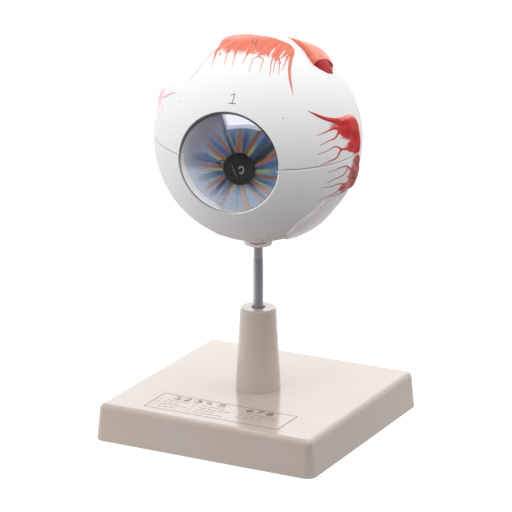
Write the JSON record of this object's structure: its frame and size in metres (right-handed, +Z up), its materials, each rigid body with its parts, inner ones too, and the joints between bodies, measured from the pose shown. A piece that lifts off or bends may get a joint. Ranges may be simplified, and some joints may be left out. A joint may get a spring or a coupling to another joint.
{
  "type": "eye anatomy model",
  "caption": "Enlarged model of a left human eye that opens in two halves, with muscle stumps, clear cornea, iris, lens and vitreous body, on a rod, tapered post and square base.",
  "frame": {"origin": "middle of the base's underside", "axes": "+Z up; -Y towards the base's front edge, which the cornea faces within 9 degrees; +X towards the eye's temple side"},
  "size_m": [0.15, 0.15, 0.2483],
  "materials": {
    "stand_plastic": "moulded, glossy beige",
    "steel": "zinc-plated steel",
    "brass": "turned",
    "sclera_plastic": "moulded white, satin gloss",
    "peg_plastic": "moulded white",
    "nerve_plastic": "painted yellow",
    "choroid_plastic": "painted red-brown",
    "clear_plastic": "clear, polished",
    "lens_plastic": "clear, faintly yellow",
    "ciliary_plastic": "painted dark brown",
    "iris_paint": "painted with blue and orange rays",
    "pupil_plastic": "black",
    "muscle_paint": "painted red on moulded plastic"
  },
  "bodies": {
    "stand": {"base_plate": "stand_plastic", "post": "stand_plastic", "base_screw": "steel", "screw_washer": "steel"},
    "rod": {"rod": "steel"},
    "eyeball": {"sclera_lower": "sclera_plastic", "threaded_insert": "brass", "locating_pegs": "peg_plastic", "optic_nerve": "nerve_plastic", "lateral_rectus_lower": "muscle_paint", "medial_rectus_lower": "muscle_paint", "inferior_rectus": "muscle_paint", "inferior_oblique": "sclera_plastic"},
    "upper_shell": {"sclera_upper": "sclera_plastic", "superior_rectus": "muscle_paint", "superior_oblique": "muscle_paint", "lateral_rectus_upper": "muscle_paint", "medial_rectus_upper": "muscle_paint"},
    "choroid_cap": {"choroid_upper": "choroid_plastic"},
    "choroid_bowl": {"choroid_lower": "choroid_plastic"},
    "vitreous": {"vitreous_body": "clear_plastic", "ciliary_body": "ciliary_plastic"},
    "lens": {"lens": "lens_plastic"},
    "iris": {"iris": "iris_paint", "pupil": "pupil_plastic"},
    "cornea": {"cornea": "clear_plastic"}
  },
  "joints": [
    {"name": "rod_lift", "type": "slide", "parent": "stand", "child": "rod", "axis": [0, 0, 1], "range_m": [0, 0.05]},
    {"name": "eyeball_turn", "type": "hinge", "parent": "rod", "child": "eyeball", "pos_m": [0, 0, 0.12], "axis": [0, 0, 1], "continuous": true},
    {"name": "shell_lift", "type": "slide", "parent": "eyeball", "child": "upper_shell", "axis": [0.0692, -0.0244, 0.9973], "range_m": [0, 0.24]},
    {"name": "choroid_cap_lift", "type": "slide", "parent": "eyeball", "child": "choroid_cap", "axis": [0.0692, -0.0244, 0.9973], "range_m": [0, 0.18]},
    {"name": "vitreous_lift", "type": "slide", "parent": "eyeball", "child": "vitreous", "axis": [0.0692, -0.0244, 0.9973], "range_m": [0, 0.12]},
    {"name": "choroid_bowl_lift", "type": "slide", "parent": "eyeball", "child": "choroid_bowl", "axis": [0.0692, -0.0244, 0.9973], "range_m": [0, 0.06]},
    {"name": "cornea_pull", "type": "slide", "parent": "eyeball", "child": "cornea", "axis": [0.1541, -0.9874, -0.0348], "range_m": [0, 0.09]},
    {"name": "iris_pull", "type": "slide", "parent": "eyeball", "child": "iris", "axis": [0.1541, -0.9874, -0.0348], "range_m": [0, 0.054]},
    {"name": "lens_pull", "type": "slide", "parent": "vitreous", "child": "lens", "axis": [0.1541, -0.9874, -0.0348], "range_m": [0, 0.0315]}
  ],
  "couplings": [
    {"joint": "choroid_cap_lift", "follows": "shell_lift", "ratio": 0.75},
    {"joint": "vitreous_lift", "follows": "shell_lift", "ratio": 0.5},
    {"joint": "choroid_bowl_lift", "follows": "shell_lift", "ratio": 0.25},
    {"joint": "iris_pull", "follows": "cornea_pull", "ratio": 0.6},
    {"joint": "lens_pull", "follows": "cornea_pull", "ratio": 0.35}
  ]
}
